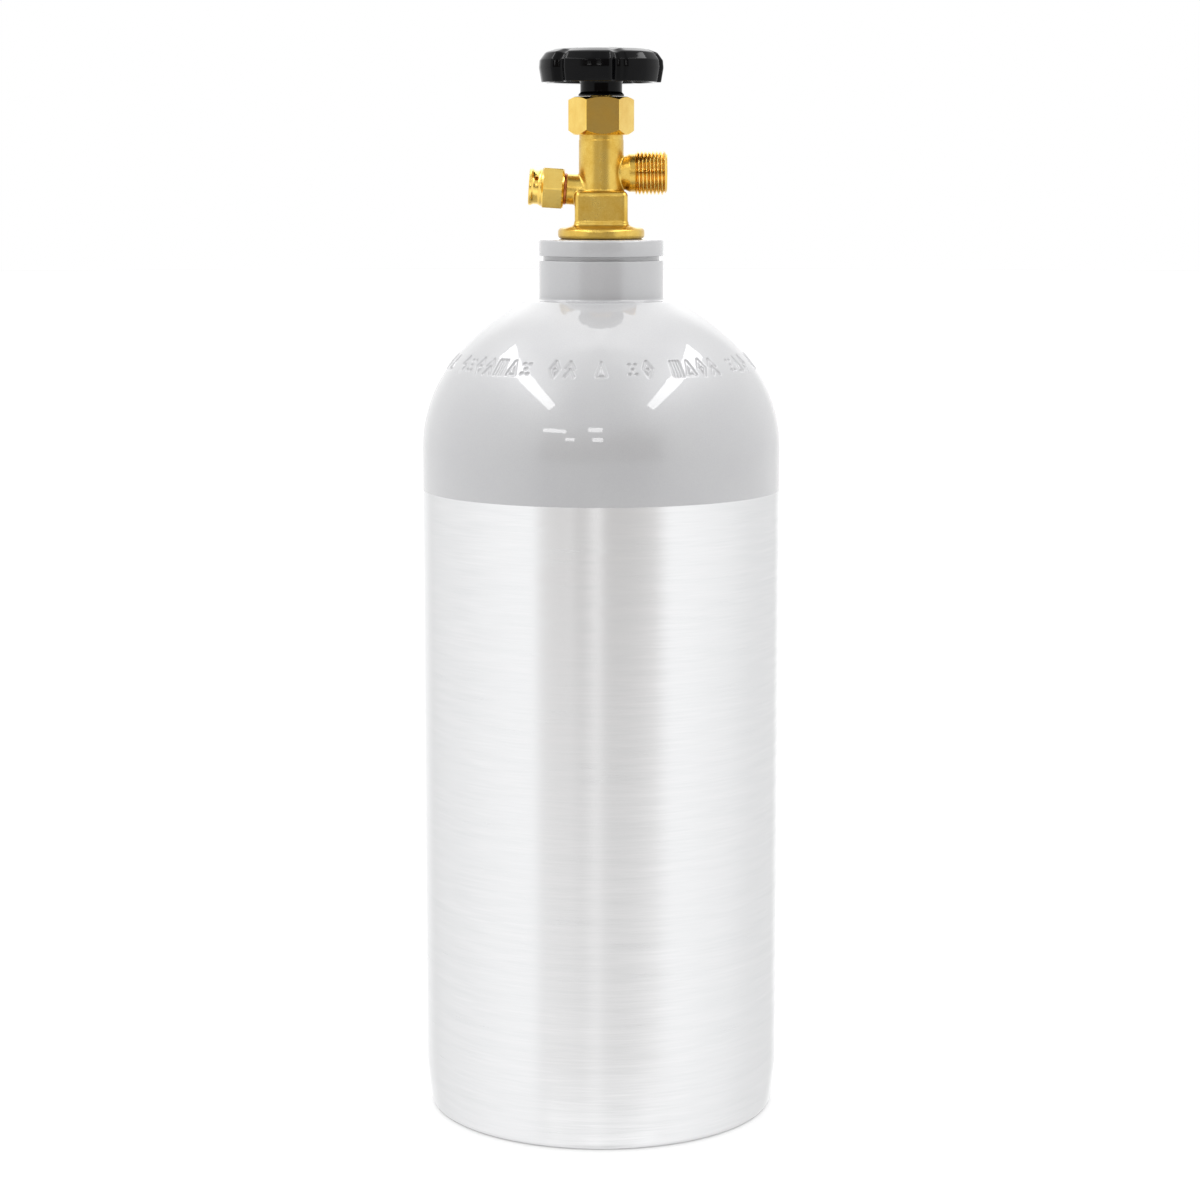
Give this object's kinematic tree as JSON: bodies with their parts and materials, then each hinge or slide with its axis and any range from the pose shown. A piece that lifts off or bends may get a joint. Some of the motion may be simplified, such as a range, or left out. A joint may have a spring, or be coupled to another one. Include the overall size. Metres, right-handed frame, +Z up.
{
  "type": "compressed gas cylinder",
  "caption": "Upright aluminium gas cylinder with a brass shut-off valve, black lobed handwheel, threaded side outlet and relief plug.",
  "frame": {"origin": "centre of the foot, on the floor that the cylinder stands on", "axes": "+Z up along the cylinder's axis, +X towards the threaded outlet, -X towards the relief plug; the front is -Y"},
  "size_m": [0.175, 0.175, 0.5202],
  "materials": {
    "cylinder_aluminium": "brushed bare wall, pale grey gloss lacquer on the shoulder and neck",
    "forged_brass": "blasted forging, satin",
    "turned_brass": "machined bar, bright",
    "black_moulding": "moulded, gloss",
    "seal_rubber": "matte",
    "white_polymer": "waxy",
    "soft_copper": "annealed copper sheet",
    "plated_steel": "zinc plated"
  },
  "bodies": {
    "cylinder": {"cylinder_shell": "cylinder_aluminium", "neck_o_ring": "seal_rubber", "valve_body": "forged_brass", "relief_washer": "soft_copper", "disc_gasket": "soft_copper", "burst_disc": "plated_steel", "relief_plug": "turned_brass", "bonnet_nut": "turned_brass", "bonnet_gasket": "white_polymer", "lower_thrust_washer": "white_polymer", "upper_thrust_washer": "white_polymer"},
    "wheel_and_stem": {"operating_stem": "turned_brass", "stem_o_ring": "seal_rubber", "stem_backup_ring": "white_polymer", "handwheel": "black_moulding", "handwheel_insert": "turned_brass", "lower_disc_spring": "plated_steel", "upper_disc_spring": "plated_steel", "spring_washer": "plated_steel", "handwheel_nut": "plated_steel"},
    "seat_plug": {"seat_carrier": "turned_brass", "seat_disc": "white_polymer"}
  },
  "joints": [
    {"name": "handwheel_turn", "type": "hinge", "parent": "cylinder", "child": "wheel_and_stem", "pos_m": [0, 0, 0.51], "axis": [0, 0, 1], "range_deg": [0, 900]},
    {"name": "seat_lift", "type": "slide", "parent": "wheel_and_stem", "child": "seat_plug", "axis": [0, 0, 1], "range_m": [0, 0.00376]}
  ],
  "couplings": [
    {"joint": "seat_lift", "follows": "handwheel_turn", "m_per_rad": 0.00023873}
  ]
}
